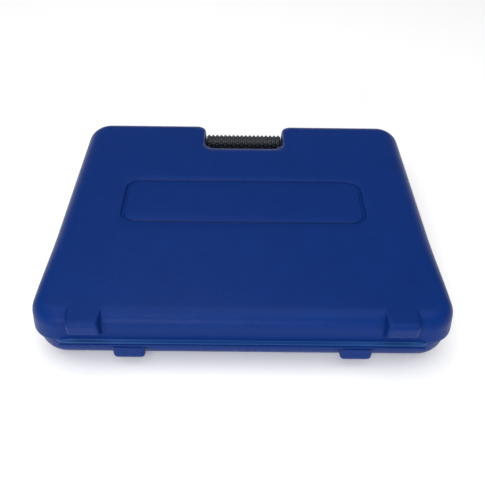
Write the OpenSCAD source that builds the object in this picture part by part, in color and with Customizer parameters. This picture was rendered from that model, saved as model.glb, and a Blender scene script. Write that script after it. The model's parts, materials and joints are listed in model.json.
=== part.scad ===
// Blow-moulded carrying case with a handheld ring reader packed in foam.
// The closed case lies on its base. +X is to the right, +Y runs from the hinge to the handle,
// +Z is up, and the origin is under the middle of the case, on the surface it lies on.

/* [Case] */
// Width of the case at the seam, side to side
case_w = 380; // [360:1:400]
// Depth of the case at the seam, from the hinge side to the handle side
case_d = 312; // [300:1:324]
// Height of each half, from the seam to its large face
half_h = 31; // [31:0.5:33]
// Corner radius at the seam, seen from above
corner_r = 28; // [26:1:34]
// Draft of the moulded walls in degrees
draft = 4; // [2:0.5:5]
// Radius where the walls round over into the large faces
edge_r = 22; // [16:1:22]
// Thickness of the outer skin
skin_t = 2; // [1.6:0.1:2.4]
// Thickness of the inner tray
tray_t = 1.6; // [1.2:0.1:1.8]

/* [Handle notch] */
// Width of the notch at the seam
notch_w = 92; // [88:1:100]
// Depth of the notch at the seam
notch_d = 43; // [41:1:46]
// Radius of the notch's two outer corners
mouth_r = 10; // [8:1:12]
// Radius of the notch's two inner corners
inner_r = 7; // [5:1:8]

/* [Handle] */
// Depth of the grip, front to back
grip_d = 20; // [18:1:21]
// Height of the grip
grip_h = 28; // [24:1:28]
// Number of ribs around the grip
rib_count = 16; // [12:1:18]
// Diameter of the two handle pins
handle_pin_d = 5; // [4:0.5:6]

/* [Hinge, feet and latches] */
// How far the pinched hinge strip stands out from the seam
hinge_reach = 4.5; // [4:0.1:5]
// How far the standing feet and the latches stand out from the seam
foot_reach = 6; // [5.5:0.1:6]
// Width of a standing foot
foot_w = 29; // [24:1:30]
// Height of a lid foot's front face
lid_foot_h = 15; // [12:1:18]
// Height of a base foot, down from the seam
base_foot_h = 18; // [15:1:20]
// Distance of each latch from the middle
latch_x = 105; // [95:1:115]
// Width of a latch
latch_w = 40; // [34:1:46]

/* [Reader] */
// Outer diameter of the ring antenna head
ring_od = 118; // [116:1:120]
// Diameter of the hole in the head
ring_id = 66; // [64:1:66]
// Width of the handle
grip_w = 40; // [40:1:42]
// Distance from the ring's middle to the end of the handle
stem_l = 207; // [205:1:209]
// Thickness of the reader
reader_t = 30; // [30:0.5:31]

/* [Hidden] */
$fn = 64;

// Colours
case_blue = "#1b3476";
hinge_blue = "#2d5a9b";
black = "#1c1d20";
foam_grey = "#3a3b3f";
reader_grey = "#c9ccd0";
reader_teal = "#1f6f78";
copper = "#b5652f";
steel = "#b8bcc2";

// Clearances
seam_gap = 0.3;
run_gap = 0.05;
part_gap = 0.3;

// Case outline
outer_steps = 7;
notch_steps = 5;
edge_steps = 6;
notch_edge_r = 6;
tray_inset = 6;
tray_floor_h = half_h - 6;
tray_floor_r = 9;
flange_t = 1.6;
foam_gap = 0.3;
foam_floor_t = 4;
base_foam_low = 1;
lid_foam_low = 13.1;
foam_top_h = tray_floor_h - tray_t - 2 * foam_gap;
foam_step_h = foam_top_h - foam_floor_t;
back_y = case_d / 2;
front_y = -case_d / 2;

// Hinge
hinge_y = front_y - hinge_reach;
hinge_half_l = case_w / 2 - corner_r;
web_r = 1.4;
ply_t = 1.7;

// Feet
lid_foot_x = 138;
base_foot_x = 102;
foot_draft = 2;

// Latches
latch_pin_r = 1.25;
knuckle_r = 2.8;
latch_pin_y = back_y + foot_reach - knuckle_r;
latch_pin_z = half_h + 14;
ear_t = 3;
ear_gap = 0.4;
latch_low_z = half_h - 13;
latch_t = 3;
catch_z = half_h - 6.5;
catch_r = 1.6;

// Handle
pivot_y = back_y - 30;
pivot_z = half_h - 8;
grip_set_back = 2.8;
grip_y = back_y - grip_set_back - grip_d / 2;
grip_z = half_h;
arm_t = 4;
arm_x = notch_w / 2 - 0.5 - arm_t;
arm_r = 6;
arm_end_h = grip_h - 4;
arm_rise = atan2(grip_z - pivot_z, grip_y - pivot_y);
arm_l = norm([grip_y - pivot_y, grip_z - pivot_z]);
grip_core_d = 10;
grip_core_h = 16;
rib_h = 1;
rib_share = 0.5;
grip_r = 8;
stop_r = 2;

// Reader, in a frame with its ring centred on the origin and its handle along -X
reader_x = 88;
reader_y = -45;
pocket_z = half_h - foam_step_h;
reader_z = pocket_z + 0.1;
wall_t = 2;
split_z = reader_t / 2;
gasket_t = 0.6;
head_r = ring_od / 2;
hole_r = ring_id / 2;
screw_r = 1.5;
screw_head_r = 2.6;
boss_r = 2.8;
boss_x = [-106, -145];
boss_y = 14.4;
ring_boss_r = head_r - wall_t - boss_r + 0.4;
ring_boss_a = [0, 62, -62];
board_z = 21;
board_t = 1.6;
board_x0 = -149.7;
board_x1 = -56;
board_w = 34;
coil_r0 = 43;
coil_r1 = 49;
coil_z0 = 6;
coil_z1 = 24;
bobbin_t = 1.5;
button_gap = 0.08;
button_stand = 1.3;
button_flange_t = 1.2;
scan_x = -119;
scan_r = 7.9;
menu_x = -137.5;
menu_r = 4.9;
button_travel = 0.8;
display_x0 = -99;
display_x1 = -63;
display_w = 23;
window_w = 20;
led_x = -103.6;
led_r = 1.4;
cell_r = 7.25;
cell_l = 50.5;
cell_y = 7.7;
cell_x0 = -204.5;
door_t = 5;

// Points along an arc from angle a0 to a1
function arc(cx, cy, r, a0, a1, n) =
  [for (i = [0:n]) let (a = a0 + (a1 - a0) * i / n) [cx + r * cos(a), cy + r * sin(a)]];

// The case's outline with its outer walls moved in by e and its notch walls by en
function outline(e, en) =
  let (x = case_w / 2 - corner_r,
    y = case_d / 2 - corner_r,
    r = corner_r - e,
    mx = notch_w / 2 + en + mouth_r,
    my = back_y - e - mouth_r,
    ix = notch_w / 2 + en - inner_r,
    iy = back_y - notch_d - en + inner_r)
  concat(arc(x, -y, r, -90, 0, outer_steps), arc(x, y, r, 0, 90, outer_steps),
    arc(mx, my, mouth_r, 90, 180, notch_steps), arc(ix, iy, inner_r, 0, -90, notch_steps),
    arc(-ix, iy, inner_r, -90, -180, notch_steps), arc(-mx, my, mouth_r, 0, 90, notch_steps),
    arc(-x, y, r, 90, 180, outer_steps), arc(-x, -y, r, 180, 270, outer_steps));

// Inset of a wall at height h above the seam, where it rounds over at height top
function inset(h, top, r, start) =
  start + min(h, top - r) * tan(draft)
  + (h > top - r ? r - sqrt(max(0, r * r - pow(h - top + r, 2))) : 0);

// Heights of the rings of a wall, from the large face down to the seam
function wall_heights(top, r, low) =
  concat([for (i = [0:edge_steps]) top - r + r * cos(90 * i / edge_steps)], [low]);

// Rings of one moulded skin: each is [inset, notch inset, height]
function skin_rings(top, r, notch_r, start, low) =
  [for (h = wall_heights(top, r, low)) [inset(h, top, r, start), inset(h, top, notch_r, start), h]];

function turned(list) = [for (i = [len(list) - 1:-1:0]) list[i]];

// A closed solid through a list of rings, each [inset, notch inset, height]
module ring_loft(rings) {
  n = len(outline(0, 0));
  points = [for (k = rings) for (p = outline(k[0], k[1])) [p[0], p[1], k[2]]];
  last = (len(rings) - 1) * n;
  sides = [for (k = [0:len(rings) - 2]) for (i = [0:n - 1])
    [k * n + i, k * n + (i + 1) % n, (k + 1) * n + (i + 1) % n, (k + 1) * n + i]];
  polyhedron(points = points,
    faces = concat([[for (i = [n - 1:-1:0]) i]], sides, [[for (i = [0:n - 1]) last + i]]));
}

// The outer skin of a half, with the seam at z = 0 and the large face up
module half_skin() {
  low = seam_gap / 2;
  ring_loft(concat(skin_rings(half_h, edge_r, notch_edge_r, 0, low),
    turned(skin_rings(half_h - skin_t, edge_r - skin_t, notch_edge_r - skin_t, skin_t, low))));
}

// The inner tray of a half, with its seam flange at z = 0 and its floor up
module half_tray() {
  low = seam_gap / 2;
  flange_z = low + flange_t;
  flange_e = skin_t + 0.1;
  outside = skin_rings(tray_floor_h, tray_floor_r, tray_floor_r, tray_inset, flange_z);
  inside = skin_rings(tray_floor_h - tray_t, tray_floor_r - tray_t, tray_floor_r - tray_t,
    tray_inset + tray_t, low);
  ring_loft(concat(outside, [[flange_e, flange_e, flange_z], [flange_e, flange_e, low]],
    turned(inside)));
}

// A foam sheet that fills a half's tray from height low to height high above the seam
module half_foam(low, high) {
  e = foam_gap
    + inset(high, tray_floor_h - tray_t, tray_floor_r - tray_t, tray_inset + tray_t);
  translate([0, 0, low]) linear_extrude(high - low) polygon(outline(e, e));
}

// Turns a half over, so that its seam is at the top
module as_base() {
  translate([0, 0, half_h]) mirror([0, 0, 1]) children();
}

module as_lid() {
  translate([0, 0, half_h]) children();
}

// A copy on each side of the middle plane
module both_sides() {
  children();
  mirror([1, 0, 0]) children();
}

// One ply of the pinched strip along the hinge
module hinge_ply() {
  y0 = hinge_y + web_r + part_gap;
  translate([-hinge_half_l, y0, seam_gap / 2]) cube([2 * hinge_half_l, front_y + 1 - y0, ply_t]);
}

// A standing foot on the hinge side, from height h0 to h1 above the seam
module standing_foot(x, h0, h1) {
  hull() {
    translate([x - foot_w / 2, front_y + 2, h0]) cube([foot_w, 1, h1 - h0]);
    translate([x - foot_w / 2 + foot_draft, front_y - foot_reach, h0 + foot_draft / 2])
      cube([foot_w - 2 * foot_draft, 1, h1 - h0 - foot_draft]);
  }
}

module base_outer_shell() {
  color(case_blue) difference() {
    union() {
      as_base() {
        half_skin();
        hinge_ply();
      }
      both_sides() as_base() standing_foot(base_foot_x, seam_gap / 2 + ply_t, base_foot_h);
      // Catch bars for the latches
      both_sides() translate([latch_x - latch_w / 2 + 3, back_y - 1, catch_z])
        rotate([0, 90, 0]) cylinder(r = catch_r, h = latch_w - 6);
      // Pegs that the handle's arms rest on
      both_sides() handle_stop();
    }
    both_sides() translate([notch_w / 2 - 1, pivot_y, pivot_z])
      rotate([0, 90, 0]) cylinder(d = handle_pin_d, h = 8);
  }
}

// A peg under each arm of the handle
module handle_stop() {
  translate([notch_w / 2 - 2.5, grip_y, grip_z - arm_end_h / 2 - part_gap - stop_r])
    rotate([0, 90, 0]) cylinder(r = stop_r, h = 5);
}

module base_inner_tray() {
  color(case_blue) as_base() half_tray();
}

// The reader's footprint, grown by g and with the ring's hole filled
module reader_print(g) {
  circle(r = head_r + g);
  translate([-stem_l - g, -grip_w / 2 - g]) square([stem_l, grip_w + 2 * g]);
}

// The plain sheet under the cut one, in the tray's narrower foot
module base_foam_floor() {
  color(foam_grey) as_base() half_foam(foam_step_h + 0.1, foam_top_h);
}

// The thick sheet, with the reader's place and the accessory pocket cut right through it
module base_foam_insert() {
  pocket_gap = 1.5;
  color(foam_grey) difference() {
    as_base() half_foam(base_foam_low, foam_step_h);
    linear_extrude(half_h) {
      translate([reader_x, reader_y]) {
        reader_print(pocket_gap);
        // Room for the battery door to slide out, and finger wells beside the handle
        translate([-stem_l - 40, -24]) square([60, 48]);
        translate([-120, 0]) square([46, 84], center = true);
      }
      translate([-70, 62]) accessory_print();
    }
  }
}

// The empty accessory pocket
module accessory_print() {
  square([170, 58], center = true);
}

module living_hinge_web() {
  color(hinge_blue) translate([-hinge_half_l, hinge_y, half_h])
    rotate([0, 90, 0]) cylinder(r = web_r, h = 2 * hinge_half_l);
}

module handle_pins() {
  color(steel) both_sides() translate([0, pivot_y, pivot_z]) rotate([0, 90, 0]) {
    translate([0, 0, arm_x - 0.2]) cylinder(d = handle_pin_d, h = 10);
    translate([0, 0, arm_x - 1.7]) cylinder(d = handle_pin_d + 2.5, h = 1.5);
  }
}

// The ears that hold one latch pin
module latch_ears() {
  ear_x = latch_w / 2 + ear_gap;
  for (x = [latch_x - ear_x - ear_t, latch_x + ear_x]) translate([x, 0, 0]) {
    translate([0, latch_pin_y, latch_pin_z]) rotate([0, 90, 0]) cylinder(r = knuckle_r, h = ear_t);
    translate([0, latch_pin_y - 5, latch_pin_z - knuckle_r]) cube([ear_t, 5, 2 * knuckle_r]);
  }
}

module lid_outer_shell() {
  color(case_blue) difference() {
    union() {
      as_lid() {
        half_skin();
        hinge_ply();
      }
      both_sides() as_lid() standing_foot(lid_foot_x, half_h - lid_foot_h, half_h);
      both_sides() latch_ears();
    }
    both_sides() translate([latch_x - latch_w, latch_pin_y, latch_pin_z])
      rotate([0, 90, 0]) cylinder(r = latch_pin_r, h = 2 * latch_w);
  }
}

module lid_inner_tray() {
  color(case_blue) as_lid() half_tray();
}

module lid_foam_pad() {
  color(foam_grey) as_lid() {
    half_foam(lid_foam_low, foam_step_h);
    half_foam(foam_step_h, foam_top_h);
  }
}

module latch_pins() {
  pin_l = latch_w + 2 * ear_gap + 2 * ear_t;
  color(steel) both_sides() translate([latch_x - pin_l / 2, latch_pin_y, latch_pin_z])
    rotate([0, 90, 0]) cylinder(r = latch_pin_r, h = pin_l);
}

// A rounded rectangle d wide and h high
module bar_section(d, h, r) {
  square([d - 2 * r, h], center = true);
  square([d, h - 2 * r], center = true);
  for (y = [-1, 1]) for (z = [-1, 1]) translate([y * (d / 2 - r), z * (h / 2 - r)]) circle(r);
}

// A rounded bar along +X, d deep and h high
module bar(d, h, r, l) {
  rotate([90, 0, 90]) linear_extrude(l) bar_section(d, h, r);
}

// One arm of the handle, from its pin to the end of the grip
module handle_arm() {
  translate([arm_x, pivot_y, pivot_z]) rotate([90, 0, 90]) linear_extrude(arm_t) {
    circle(arm_r);
    rotate(arm_rise) translate([0, -arm_r]) square([arm_l, 2 * arm_r]);
    translate([grip_y - pivot_y, grip_z - pivot_z]) bar_section(grip_d - 3, arm_end_h, grip_r - 1);
  }
}

module handle_frame() {
  color(black) {
    difference() {
      both_sides() handle_arm();
      translate([-notch_w / 2, pivot_y, pivot_z]) rotate([0, 90, 0])
        cylinder(r = handle_pin_d / 2 + run_gap, h = notch_w);
    }
    translate([-arm_x, grip_y, grip_z]) bar(grip_core_d, grip_core_h, 3, 2 * arm_x);
  }
}

module handle_grip() {
  pitch = 2 * arm_x / rib_count;
  color(black) translate([0, grip_y, grip_z]) difference() {
    union() {
      translate([-arm_x, 0, 0])
        bar(grip_d - 2 * rib_h, grip_h - 2 * rib_h, grip_r - rib_h, 2 * arm_x);
      for (i = [0:rib_count - 1])
        translate([-arm_x + (i + (1 - rib_share) / 2) * pitch, 0, 0])
          bar(grip_d, grip_h, grip_r, rib_share * pitch);
    }
    translate([-arm_x - 1, 0, 0])
      bar(grip_core_d + 0.1, grip_core_h + 0.1, 3, 2 * arm_x + 2);
  }
}

// A flip latch, with a lip that closes under the catch bar
module latch(x) {
  plate_y = latch_pin_y + knuckle_r - latch_t;
  lip_y = back_y - 1 + catch_r + 0.25;
  lip_h = 3;
  color(black) translate([x - latch_w / 2, 0, 0]) difference() {
    union() {
      translate([0, latch_pin_y, latch_pin_z]) rotate([0, 90, 0])
        cylinder(r = knuckle_r, h = latch_w);
      translate([0, plate_y, latch_low_z]) cube([latch_w, latch_t, latch_pin_z - latch_low_z]);
      translate([0, lip_y, latch_low_z]) cube([latch_w, plate_y - lip_y + 1, lip_h]);
    }
    translate([-1, latch_pin_y, latch_pin_z]) rotate([0, 90, 0])
      cylinder(r = latch_pin_r + run_gap, h = latch_w + 2);
  }
}

module left_latch() {
  latch(-latch_x);
}

module right_latch() {
  latch(latch_x);
}

// Puts a reader piece where the reader lies in the case
module in_reader() {
  translate([reader_x, reader_y, reader_z]) children();
}

// The reader's outline moved in by g, with rounded handle corners and the ring's hole
module reader_outline(g) {
  difference() {
    union() {
      circle(r = head_r - g);
      translate([-stem_l, -grip_w / 2 + g]) square([stem_l - 20, grip_w - 2 * g]);
    }
    circle(r = hole_r + g);
  }
}

// A list of the screws' places
function screw_places() = concat([for (x = boss_x) for (s = [-1, 1]) [x, s * boss_y]],
  [for (a = ring_boss_a) [ring_boss_r * cos(a), ring_boss_r * sin(a)]]);

// The reader's hollow, from height z0 to z1, which runs out through the handle's end
module reader_hollow(z0, z1) {
  translate([0, 0, z0]) linear_extrude(z1 - z0) reader_outline(wall_t);
  translate([-stem_l - 1, -grip_w / 2 + wall_t, z0])
    cube([5, grip_w - 2 * wall_t, z1 - z0]);
}

module reader_rear_housing() {
  top = split_z - gasket_t / 2;
  counterbore = 2.2;
  color(reader_teal) in_reader() difference() {
    union() {
      difference() {
        linear_extrude(top) reader_outline(0);
        reader_hollow(wall_t, top + 1);
      }
      for (p = screw_places()) translate([p[0], p[1], 0]) cylinder(r = boss_r, h = top);
    }
    for (p = screw_places()) translate([p[0], p[1], -1]) {
      cylinder(r = screw_r + 0.15, h = top + 2);
      cylinder(r = screw_head_r + 0.15, h = 1 + counterbore);
    }
  }
}

module reader_front_housing() {
  low = split_z + gasket_t / 2;
  color(reader_grey) in_reader() difference() {
    union() {
      difference() {
        translate([0, 0, low]) linear_extrude(reader_t - low) reader_outline(0);
        reader_hollow(low - 1, reader_t - wall_t);
      }
      for (p = screw_places()) translate([p[0], p[1], low])
        cylinder(r = boss_r, h = reader_t - wall_t / 2 - low);
    }
    for (p = screw_places()) translate([p[0], p[1], low - 1])
      cylinder(r = screw_r, h = reader_t - wall_t - low);
    translate([scan_x, 0, reader_t / 2]) cylinder(r = scan_r + button_gap, h = reader_t);
    translate([menu_x, 0, reader_t / 2]) cylinder(r = menu_r + button_gap, h = reader_t);
    translate([led_x, 0, reader_t / 2]) cylinder(r = led_r + 0.1, h = reader_t);
    translate([(display_x0 + display_x1) / 2, 0, reader_t])
      cube([display_x1 - display_x0 - 2, window_w, 4 * wall_t], center = true);
  }
}

module housing_gasket() {
  color(black) in_reader() translate([0, 0, split_z - gasket_t / 2]) linear_extrude(gasket_t)
    difference() {
      reader_outline(0.4);
      reader_outline(1.6);
      translate([-stem_l - 1, -grip_w / 2]) square([3, grip_w]);
    }
}

module housing_screws() {
  head_z = 0.4;
  head_t = 1.7;
  color(steel) in_reader() for (p = screw_places()) translate([p[0], p[1], head_z]) {
    difference() {
      cylinder(r = screw_head_r, h = head_t);
      translate([0, 0, -1]) cylinder(r = 1.2, h = 1.9, $fn = 6);
    }
    translate([0, 0, head_t - 0.1]) cylinder(r = screw_r, h = 22);
  }
}

module antenna_bobbin() {
  color("#e6e2d6") in_reader() translate([0, 0, coil_z0]) rotate_extrude() {
    translate([coil_r0 - bobbin_t, 0]) square([bobbin_t, coil_z1 - coil_z0]);
    for (z = [0, coil_z1 - coil_z0 - bobbin_t])
      translate([coil_r0 - bobbin_t, z]) square([coil_r1 - coil_r0 + bobbin_t, bobbin_t]);
  }
}

module antenna_coil() {
  color(copper) in_reader() translate([0, 0, coil_z0 + bobbin_t]) rotate_extrude()
    translate([coil_r0, 0]) square([coil_r1 - coil_r0 - 1, coil_z1 - coil_z0 - 2 * bobbin_t]);
}

module main_circuit_board() {
  color("#1e5a34") in_reader() translate([0, 0, board_z]) linear_extrude(board_t)
    difference() {
      translate([board_x0, -board_w / 2]) square([board_x1 - board_x0, board_w]);
      for (p = screw_places()) translate(p) circle(boss_r + part_gap);
    }
}

// A small part standing on the board, its middle at x and y
module on_board(x, y, size) {
  translate([x - size[0] / 2, y - size[1] / 2, board_z + board_t]) cube(size);
}

// A small part hanging under the board
module under_board(x, y, size) {
  translate([x - size[0] / 2, y - size[1] / 2, board_z - size[2]]) cube(size);
}

module board_chips() {
  color(black) in_reader() {
    under_board(-112, 0, [12, 12, 1.6]);
    under_board(-92, -6, [9, 9, 1.4]);
    under_board(-92, 8, [6, 5, 1.2]);
    under_board(-132, 7, [8, 10, 2.4]);
    under_board(-132, -8, [6, 6, 1.2]);
  }
}

module display_module() {
  color("#56604e") in_reader()
    on_board((display_x0 + display_x1) / 2, 0, [display_x1 - display_x0, display_w, 4.4]);
}

module display_window() {
  lens_l = display_x1 - display_x0 - 2.2;
  color("#9fb3b8") in_reader()
    translate([(display_x0 + display_x1 - lens_l) / 2, -window_w / 2 + 0.1, reader_t - 1.8])
      cube([lens_l, window_w - 0.2, 1.6]);
}

// A push button through the front wall, held in by a flange behind it
module button(x, r) {
  flange_z = reader_t - wall_t - 0.2 - button_flange_t;
  in_reader() translate([x, 0, flange_z]) {
    cylinder(r = r, h = reader_t + button_stand - flange_z);
    cylinder(r = r + 1.3, h = button_flange_t);
  }
}

module scan_button() {
  color("#d9541e") button(scan_x, scan_r);
}

module menu_button() {
  color("#2a2c31") button(menu_x, menu_r);
}

module button_switches() {
  body_h = 2.4;
  flange_z = reader_t - wall_t - 0.2 - button_flange_t;
  stem_h = flange_z - button_travel - 0.1 - board_z - board_t;
  color(black) in_reader() for (x = [scan_x, menu_x]) {
    on_board(x, 0, [6, 6, body_h]);
    translate([x, 0, board_z + board_t]) cylinder(r = 1.7, h = stem_h);
  }
}

module status_led() {
  color("#5fd07a") in_reader() translate([led_x, 0, board_z + board_t])
    cylinder(r = led_r, h = reader_t + 0.2 - board_z - board_t);
}

module buzzer() {
  color(black) in_reader() translate([-74, 0, board_z - 6]) difference() {
    cylinder(r = 6, h = 6);
    translate([0, 0, -1]) cylinder(r = 1, h = 2);
  }
}

module battery_tray() {
  floor_t = 1.5;
  tray_x1 = cell_x0 + cell_l + 4;
  half_w = grip_w / 2 - wall_t - 0.3;
  color(black) in_reader() difference() {
    translate([cell_x0, -half_w, split_z - cell_r - floor_t])
      cube([tray_x1 - cell_x0, 2 * half_w, cell_r + floor_t + 3]);
    for (s = [-1, 1]) {
      translate([cell_x0 - 1, s * cell_y, split_z]) rotate([0, 90, 0])
        cylinder(r = cell_r + 0.1, h = cell_l + 3.5);
      translate([cell_x0 - 1, s * cell_y - cell_r - 0.1, split_z])
        cube([cell_l + 3.5, 2 * cell_r + 0.2, 20]);
    }
  }
}

module battery_cells() {
  color("#3f7d4e") in_reader() for (s = [-1, 1])
    translate([cell_x0 + (s + 1) / 2, s * cell_y, split_z]) rotate([0, 90, 0]) {
      translate([0, 0, s < 0 ? 0 : 1]) cylinder(r = cell_r, h = cell_l - 2);
      translate([0, 0, s < 0 ? cell_l - 2 : 0]) cylinder(r = 2.7, h = 1);
    }
}

module battery_springs() {
  color(steel) in_reader() for (s = [-1, 1])
    translate([cell_x0 + cell_l + 2.2, s * cell_y, split_z]) rotate([0, -90, 0])
      for (i = [0:2]) translate([0, 0, i * 0.5])
        cylinder(r = 4.5 - i, h = 0.5);
}

// The cap that closes the handle's end and slides out for a battery change
module battery_door() {
  plug_l = 3;
  color(reader_teal) in_reader() {
    translate([-stem_l - door_t - 0.2, 0, reader_t / 2]) bar(grip_w, reader_t, 3, door_t);
    translate([-stem_l - 0.3, 0, reader_t / 2]) difference() {
      bar(grip_w - 2 * wall_t - 0.6, reader_t - 2 * wall_t - 0.6, 2, plug_l - 0.8);
      translate([0.8, 0, 0]) bar(grip_w - 4 * wall_t, reader_t - 6 * wall_t, 2, plug_l);
    }
  }
}

module door_contact_strip() {
  color(steel) in_reader() translate([-stem_l + 0.5, -12, reader_t / 2 - 4]) cube([0.6, 24, 8]);
}

base_outer_shell();
base_inner_tray();
base_foam_floor();
base_foam_insert();
living_hinge_web();
handle_pins();
lid_outer_shell();
lid_inner_tray();
lid_foam_pad();
latch_pins();
handle_frame();
handle_grip();
left_latch();
right_latch();
reader_front_housing();
reader_rear_housing();
housing_gasket();
housing_screws();
antenna_bobbin();
antenna_coil();
main_circuit_board();
board_chips();
display_module();
display_window();
scan_button();
menu_button();
button_switches();
status_led();
buzzer();
battery_tray();
battery_cells();
battery_springs();
battery_door();
door_contact_strip();
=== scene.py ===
"""Looks for the carrying case and the ring reader inside it.

Everything is in metres, in the part's own frame: +X right, +Y from the hinge to the handle, +Z up.
"""
import json
import math

import bmesh
import bpy
import numpy as np
from mathutils import Matrix, Vector, geometry, noise


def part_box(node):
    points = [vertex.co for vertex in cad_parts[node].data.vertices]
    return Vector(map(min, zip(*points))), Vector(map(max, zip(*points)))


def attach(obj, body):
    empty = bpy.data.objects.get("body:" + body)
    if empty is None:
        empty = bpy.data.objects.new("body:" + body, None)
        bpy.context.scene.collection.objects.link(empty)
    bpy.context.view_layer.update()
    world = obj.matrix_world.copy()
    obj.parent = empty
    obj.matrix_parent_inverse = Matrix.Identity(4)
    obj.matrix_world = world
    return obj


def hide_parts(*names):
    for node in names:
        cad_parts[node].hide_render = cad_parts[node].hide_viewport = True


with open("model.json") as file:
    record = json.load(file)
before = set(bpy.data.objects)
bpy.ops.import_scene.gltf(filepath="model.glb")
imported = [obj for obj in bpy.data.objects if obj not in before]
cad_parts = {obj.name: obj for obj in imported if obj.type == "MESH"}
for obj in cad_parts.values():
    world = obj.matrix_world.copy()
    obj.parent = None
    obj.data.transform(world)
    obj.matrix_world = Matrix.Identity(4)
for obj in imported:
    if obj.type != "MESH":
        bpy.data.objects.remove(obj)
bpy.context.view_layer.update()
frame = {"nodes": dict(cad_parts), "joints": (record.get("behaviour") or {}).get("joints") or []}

MM = 0.001

# ---------------------------------------------------------------- sizes, from the frame

PIVOTS = {joint["name"]: joint["pos_m"] for joint in frame["joints"] if "pos_m" in joint}
HINGE_Y, SEAM_Z = PIVOTS["lid_hinge"][1:]
HALF_H = SEAM_Z
CASE_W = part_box("lid_outer_shell")[1].x * 2
HINGE_REACH = 4.5 * MM
FRONT_Y = HINGE_Y + HINGE_REACH
BACK_Y = -FRONT_Y
FOOT_REACH = FRONT_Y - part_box("lid_outer_shell")[0].y

# The case's corners, edges and walls
CORNER_R = 28 * MM
EDGE_R = 22 * MM
LID_FRONT_R = 15 * MM
DRAFT = math.radians(4)
SKIN_T = 2 * MM

# The seam, and the hinge-side corners, which differ there from those above and below
SEAM_GAP = 0.3 * MM
SEAM_R = 1.5 * MM
SEAM_RISE = 3.2 * MM
CORNER_REACH = 45 * MM
LID_CORNER_OUT = 4.2 * MM
LID_CORNER_H = 26 * MM
BASE_CORNER_IN = 3 * MM

# The notch for the handle: its mouth, its inner corners and its rounded edges
NOTCH_W = 92 * MM
NOTCH_D = 43 * MM
MOUTH_R = 10 * MM
INNER_R = 7 * MM
NOTCH_EDGE_R = 6 * MM
FINGER_EDGE_R = 26.5 * MM
CORNER_OPENING = 0.4
NOTCH_DRAFT = math.radians(1.5)

# The feet on the hinge side
LID_FOOT_X = 138 * MM
BASE_FOOT_X = 102 * MM
FOOT_W = 29 * MM
LID_FOOT_H = 16.6 * MM
BASE_FOOT_H = 18 * MM

# The pinched hinge strip, and the heights over which the grip's painted shade turns paler upwards
PLY_T = 1.7 * MM
HINGE_TAPER = 12 * MM
BEAD_GAP = 0.9 * MM
GRIP_SHADE_LOW = HALF_H - 2 * MM
GRIP_SHADE_HIGH = HALF_H + 13 * MM

# ---------------------------------------------------------------- small tools


def smooth(t):
    """0 below 0, 1 above 1 and a soft step between."""
    t = np.clip(t, 0, 1)
    return t * t * (3 - 2 * t)


def arc(cx, cy, r, a0, a1, n):
    """n + 1 points on an arc, in degrees."""
    a = np.radians(np.linspace(a0, a1, n + 1))
    return np.stack([cx + r * np.cos(a), cy + r * np.sin(a)], -1)


def make_object(name, vertices, faces, material, smooth_angle=40):
    """A mesh object with consistent outward normals."""
    mesh = bpy.data.meshes.new(name)
    mesh.from_pydata([tuple(map(float, v)) for v in vertices], [], faces)
    bm = bmesh.new()
    bm.from_mesh(mesh)
    bmesh.ops.remove_doubles(bm, verts=bm.verts, dist=1e-6)
    bmesh.ops.recalc_face_normals(bm, faces=bm.faces)
    bm.to_mesh(mesh)
    bm.free()
    mesh.materials.append(material)
    mesh.shade_smooth()
    obj = bpy.data.objects.new(name, mesh)
    bpy.context.collection.objects.link(obj)
    if smooth_angle < 180:
        mesh.set_sharp_from_angle(angle=math.radians(smooth_angle))
    return obj


class Build:
    """Collects vertices and faces for one mesh."""

    def __init__(self):
        self.v = []
        self.f = []

    def ring(self, points):
        start = len(self.v)
        self.v.extend(points)
        return list(range(start, start + len(points)))

    def bridge(self, a, b):
        """Quads between two closed rings of the same length."""
        n = len(a)
        for i in range(n):
            j = (i + 1) % n
            self.f.append((a[i], a[j], b[j], b[i]))

    def rings(self, list_of_points):
        """Rings bridged one to the next."""
        ids = [self.ring(p) for p in list_of_points]
        for a, b in zip(ids, ids[1:]):
            self.bridge(a, b)
        return ids

    def loft(self, list_of_points):
        """Bridged rings with a flat face over the first and the last."""
        ids = self.rings(list_of_points)
        self.f += [tuple(ids[0][::-1]), tuple(ids[-1])]

    def fill(self, boundary, holes=(), extra=(), height=None):
        """Fills the flat area inside a ring, with holes and extra points, by triangles."""
        index = [i for ring in (boundary, *holes) for i in ring]
        flat = [Vector(self.v[i][:2]) for i in index]
        edges, outlines, start = [], [], 0
        for ring in (boundary, *holes):
            n = len(ring)
            edges += [(start + i, start + (i + 1) % n) for i in range(n)]
            outlines.append(Polygon(flat[start:start + n]))
            start += n
        z = self.v[boundary[0]][2]
        points = flat + [Vector((float(x), float(y))) for x, y in extra]
        verts, _, faces, origin, _, _ = geometry.delaunay_2d_cdt(points, edges, [], 0, 1e-7)
        table = {}
        for new, old in enumerate(origin):
            own = [o for o in old if o < len(index)]
            if own:
                table[new] = index[own[0]]
            else:
                x, y = verts[new]
                table[new] = len(self.v)
                self.v.append((x, y, z + (height(x, y) if height else 0)))
        for face in faces:
            x, y = (sum(verts[i][k] for i in face) / len(face) for k in (0, 1))
            if outlines[0].holds(x, y) and not any(hole.holds(x, y) for hole in outlines[1:]):
                self.f.append(tuple(table[i] for i in face))


class Polygon:
    """A flat closed outline that can say whether it holds a point."""

    def __init__(self, points):
        self.p = np.array(points, np.float32).astype(float)

    def holds(self, x, y):
        a = self.p
        b = np.roll(self.p, -1, 0)
        crosses = (a[:, 1] > y) != (b[:, 1] > y)
        a, b = a[crosses], b[crosses]
        at = a[:, 0] + (y - a[:, 1]) / (b[:, 1] - a[:, 1]) * (b[:, 0] - a[:, 0])
        return int((at > x).sum()) % 2 == 1


# ---------------------------------------------------------------- shader tools


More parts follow.
